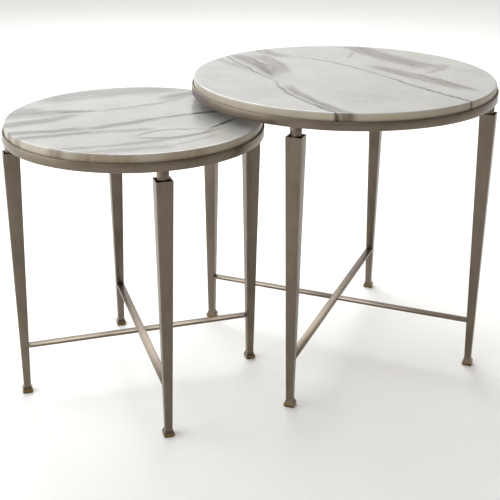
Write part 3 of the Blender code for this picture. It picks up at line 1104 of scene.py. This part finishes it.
@dataclass
class Legs(SubAssembly):
    """The legs: square tubes that taper to the floor, each under a round neck in an open socket."""

    top_width: float = 30.2 * MM
    floor_width: float = 12.7 * MM
    corner: float = 1.0 * MM
    socket_width: float = 23.8 * MM
    socket_mouth: float = 26.2 * MM
    socket_depth: float = 12 * MM
    neck_hole: float = 6.8 * MM
    neck_edge: float = 0.4 * MM
    neck_sides: int = 64

    def width(self, height: float) -> float:
        """Width of a leg at a height above the floor."""
        taper = (self.top_width - self.floor_width) / self.layout.leg_high
        return self.floor_width + taper * height

    def build_necks(self) -> None:
        """Turns the round necks and bores them for the screws."""
        low, high = self.layout.heights("neck_1")
        radius = self.layout.radius("neck_1", self.layout.spots[0])
        neck = Bench.ring("neck_pattern", radius, radius - self.neck_hole / 2, low, high,
                          self.neck_sides, self.neck_edge)
        Bench.complete(neck, Flow.UPRIGHT)
        self.repeat(neck, "round_neck", "neck", "pewter_metal", self.finishes.pewter)

    def build_tubes(self) -> None:
        """Tapers the tubes, softens their corners and sinks their sockets."""
        low, high = self.layout.leg_low, self.layout.leg_high
        leg = Bench.block("leg_pattern", (self.top_width, self.top_width, high - low), low)
        Bench.pick_cap(leg, False)
        Bench.widen(self.width(low) / self.top_width)
        Bench.ease(leg, self.corner, 3, lambda edge: edge.calc_length() > (high - low) / 2)
        Bench.pick_cap(leg, True)
        bpy.ops.mesh.inset(thickness=(self.top_width - self.socket_mouth) / 2, depth=0.0)
        funnel = (self.socket_mouth - self.socket_width) / 2
        Bench.rise(-funnel)
        Bench.widen(self.socket_width / self.socket_mouth)
        Bench.rise(funnel - self.socket_depth)
        Bench.complete(leg, Flow.UPRIGHT)
        self.repeat(leg, "tapered_leg", "leg", "pewter_metal", self.finishes.pewter)

    def build(self) -> None:
        """Builds the necks and the tubes."""
        self.build_necks()
        self.build_tubes()


@dataclass
class Feet(SubAssembly):
    """The feet: square shoes with an upright rim, a flare up to the leg and a nylon glide."""

    legs: Legs
    foot_width: float = 19.8 * MM
    rim_height: float = 4.5 * MM
    flare_steps: int = 6
    rim_edge: float = 0.5 * MM
    glide_corner: float = 1.2 * MM

    def build_shoes(self) -> None:
        """Casts the shoes."""
        low, _ = self.layout.heights("foot_1")
        foot = Bench.block("foot_pattern", (self.foot_width, self.foot_width, self.rim_height), low)
        rise = self.layout.leg_low - low - self.rim_height
        joint = self.legs.width(self.layout.leg_low)
        width = self.foot_width
        Bench.pick_cap(foot, True)
        for step in range(1, self.flare_steps + 1):
            turn = math.pi / 2 * step / self.flare_steps
            wanted = joint + (self.foot_width - joint) * (1 - math.sin(turn))
            Bench.rise(rise / self.flare_steps)
            Bench.widen(wanted / width)
            width = wanted
        rim_top = low + self.rim_height + NEAR
        Bench.ease(foot, self.rim_edge, 2, lambda edge: all(v.co.z < rim_top for v in edge.verts))
        Bench.complete(foot, Flow.UPRIGHT)
        self.repeat(foot, "flared_foot", "foot", "pewter_metal", self.finishes.foot)

    def build_glides(self) -> None:
        """Moulds the glides, rounded below so that they slide."""
        low, high = self.layout.heights("glide_1")
        width = self.layout.radius("glide_1", self.layout.spots[0]) * math.sqrt(2)
        glide = Bench.block("glide_pattern", (width, width, high - low), low)
        Bench.ease(glide, self.glide_corner, 3, lambda edge: not Bench.is_level(edge))
        Bench.ease(glide, self.rim_edge, 2,
                   lambda edge: all(v.co.z < low + NEAR for v in edge.verts))
        Bench.complete(glide)
        self.repeat(glide, "foot_glide", "glide", "nylon_glide", self.finishes.nylon)

    def build(self) -> None:
        """Builds the shoes and their glides."""
        self.build_shoes()
        self.build_glides()


@dataclass
class Cross(SubAssembly):
    """The cross between the legs: a long flat bar and two half bars, with eased edges."""

    edge: float = 0.6 * MM
    bars: tuple[tuple[str, str], ...] = (
        ("long_stretcher", "long_bar"),
        ("half_stretcher_1", "half_bar_1"),
        ("half_stretcher_2", "half_bar_2"),
    )

    def build(self) -> None:
        """Cuts the bars, each along the pair of legs that it joins."""
        for node, name in self.bars:
            points = self.layout.points(node)
            middle = sum(points, Vector()) / len(points)
            away = max(points, key=lambda p: (p - middle).length) - middle
            bearing = math.atan2(away.y, away.x)
            turn = min(self.layout.turns, key=lambda t: abs(math.remainder(t - bearing, math.pi)))
            # Its rows run along the bar, across it and up.
            ways = Matrix.Rotation(turn, 3, "Z").transposed()
            size = tuple(2 * max((p - middle).dot(way) for p in points) for way in ways)
            bar = Bench.block(name + "_pattern", size, self.layout.heights(node)[0])
            Bench.modify(bar, "BEVEL", width=self.edge, segments=2, limit_method="ANGLE")
            Bench.complete(bar, Flow.LENGTHWAYS)
            placed = self.place(bar, name, Vector((middle.x, middle.y, 0)), turn, GRAIN_STEP)
            self.show(placed, node, self.layout.frame_body, "pewter_metal", self.finishes.pewter)


# ---- the studio ----


@dataclass(frozen=True)
class Softbox:
    """A square lamp that faces the tables, placed by its bearing from the camera's heading."""

    name: str
    bearing: float
    distance: float
    height: float
    size: float
    power: float
    aim: Triple = (0.0, 0.0, 0.35)

    def place(self, heading: float) -> None:
        """Adds the lamp.

        Args:
            heading: The camera's heading in plan, in degrees from +X.
        """
        angle = math.radians(heading + self.bearing)
        data = bpy.data.lights.new(self.name, "AREA")
        data.shape = "SQUARE"
        data.size = self.size
        data.energy = self.power
        lamp = bpy.data.objects.new(self.name, data)
        spot = Vector((self.distance * math.cos(angle), self.distance * math.sin(angle),
                       self.height))
        lamp.location = spot
        lamp.rotation_euler = (Vector(self.aim) - spot).to_track_quat("-Z", "Y").to_euler()
        lamp.visible_camera = False
        bpy.context.scene.collection.objects.link(lamp)


@dataclass
class Studio:
    """A pale floor, a sky that is brighter to the camera's left, soft lamps and the camera."""

    floor_half: float = 30.0
    floor_shade: str = "#F7F7F5"
    floor_gloss: float = 0.1
    fibre_size: float = 0.4
    fibre_roughness: Pair = (0.85, 0.95)
    dim_sky: str = "#ECE2D2"
    bright_sky: str = "#EEF3FA"
    sky_range: Pair = (0.22, 1.62)
    sky_turn: float = 14.0
    sky_reach: Pair = (-0.9, 0.9)
    camera_spot: Triple = (-0.758, -1.693, 1.028)
    heading: float = 66.37
    down: float = 18.04
    roll: float = 0.43
    lens: float = 70.5
    shift: float = -0.17
    sight: float = 100.0
    lamps: tuple[Softbox, ...] = (
        Softbox("left_softbox", bearing=96.0, distance=2.6, height=1.3, size=2.9, power=42.0),
        Softbox("back_softbox", bearing=12.0, distance=2.6, height=2.9, size=2.5, power=98.0),
    )

    def build_floor(self) -> None:
        """Lays matt paper that shows from above only, so that undersides can be seen."""
        Bench.clear()
        bpy.ops.mesh.primitive_plane_add(size=2 * self.floor_half)
        floor = bpy.context.object
        floor.name = "floor"
        material, tree, shader = new_material("matt_white_paper")
        fibre = add(tree, "TexNoise", {"Vector": add(tree, "TexCoord", out="Object"),
                                       "Scale": 1 / self.fibre_size, "Detail": 2.0})
        rough = add(tree, "MapRange", {"Value": fibre, TO: self.fibre_roughness})
        feed(shader, {"Base Color": linear(self.floor_shade), "Roughness": rough,
                      "Specular IOR Level": self.floor_gloss})
        both = add(tree, "MixShader", {0: add(tree, "NewGeometry", out="Backfacing"),
                                       1: shader.outputs[0], 2: add(tree, "BsdfTransparent")})
        feed(tree.nodes["Material Output"], {"Surface": both})
        floor.data.materials.append(material)

    def build_sky(self) -> None:
        """Shades the air from dim to bright across the camera's heading."""
        world = bpy.data.worlds.new("studio_air")
        bpy.context.scene.world = world
        world.use_nodes = True
        tree = world.node_tree
        bearing = add(tree, "Mapping", {
            "Vector": add(tree, "TexCoord", out="Generated"),
            "Rotation": (0.0, 0.0, math.radians(self.heading + 90 - self.sky_turn)),
        }, vector_type="TEXTURE")
        towards = add(tree, "SeparateXYZ", {0: bearing}, "X")
        share = add(tree, "MapRange", {"Value": towards, FROM: self.sky_reach})
        strength = add(tree, "MapRange", {"Value": share, TO: self.sky_range})
        shade = add(tree, "Mix", {SHARE: share, UNDER: linear(self.dim_sky),
                                  OVER: linear(self.bright_sky)}, **COLOURS)
        feed(tree.nodes["Background"], {"Strength": strength, "Color": shade})
        bpy.context.scene.view_settings.view_transform = "Standard"

    def build_camera(self) -> None:
        """Sets up the camera."""
        data = bpy.data.cameras.new("camera")
        data.lens = self.lens
        data.shift_y = self.shift
        data.clip_end = self.sight
        camera = bpy.data.objects.new("camera", data)
        camera.location = self.camera_spot
        turned = Matrix.Rotation(math.radians(self.heading - 90), 4, "Z")
        tilted = Matrix.Rotation(math.radians(90 - self.down), 4, "X")
        rolled = Matrix.Rotation(math.radians(self.roll), 4, "Z")
        camera.rotation_euler = (turned @ tilted @ rolled).to_euler()
        bpy.context.scene.collection.objects.link(camera)
        bpy.context.scene.camera = camera

    def build(self) -> None:
        """Builds the studio."""
        self.build_floor()
        self.build_sky()
        for lamp in self.lamps:
            lamp.place(self.heading)
        self.build_camera()


def main() -> None:
    """Builds both tables, sub-assembly by sub-assembly, and the studio."""
    logging.basicConfig(level=logging.INFO, format="%(name)s: %(message)s")
    finishes = Finishes()
    for prefix, strokes, run in (("large", LARGE_STROKES, math.pi / 2),
                                 ("small", SMALL_STROKES, 0.0)):
        layout = Layout(prefix)
        screws = Screws(layout, finishes)
        legs = Legs(layout, finishes)
        for part in (MarbleSlab(layout, finishes, strokes, run), Hoop(layout, finishes),
                     SeatRing(layout, finishes, screws), Bumpers(layout, finishes), legs, screws,
                     Feet(layout, finishes, legs), Cross(layout, finishes)):
            part.build()
            log.info("%s table: %s done", prefix, type(part).__name__)
    Studio().build()


if __name__ == "__main__":
    main()
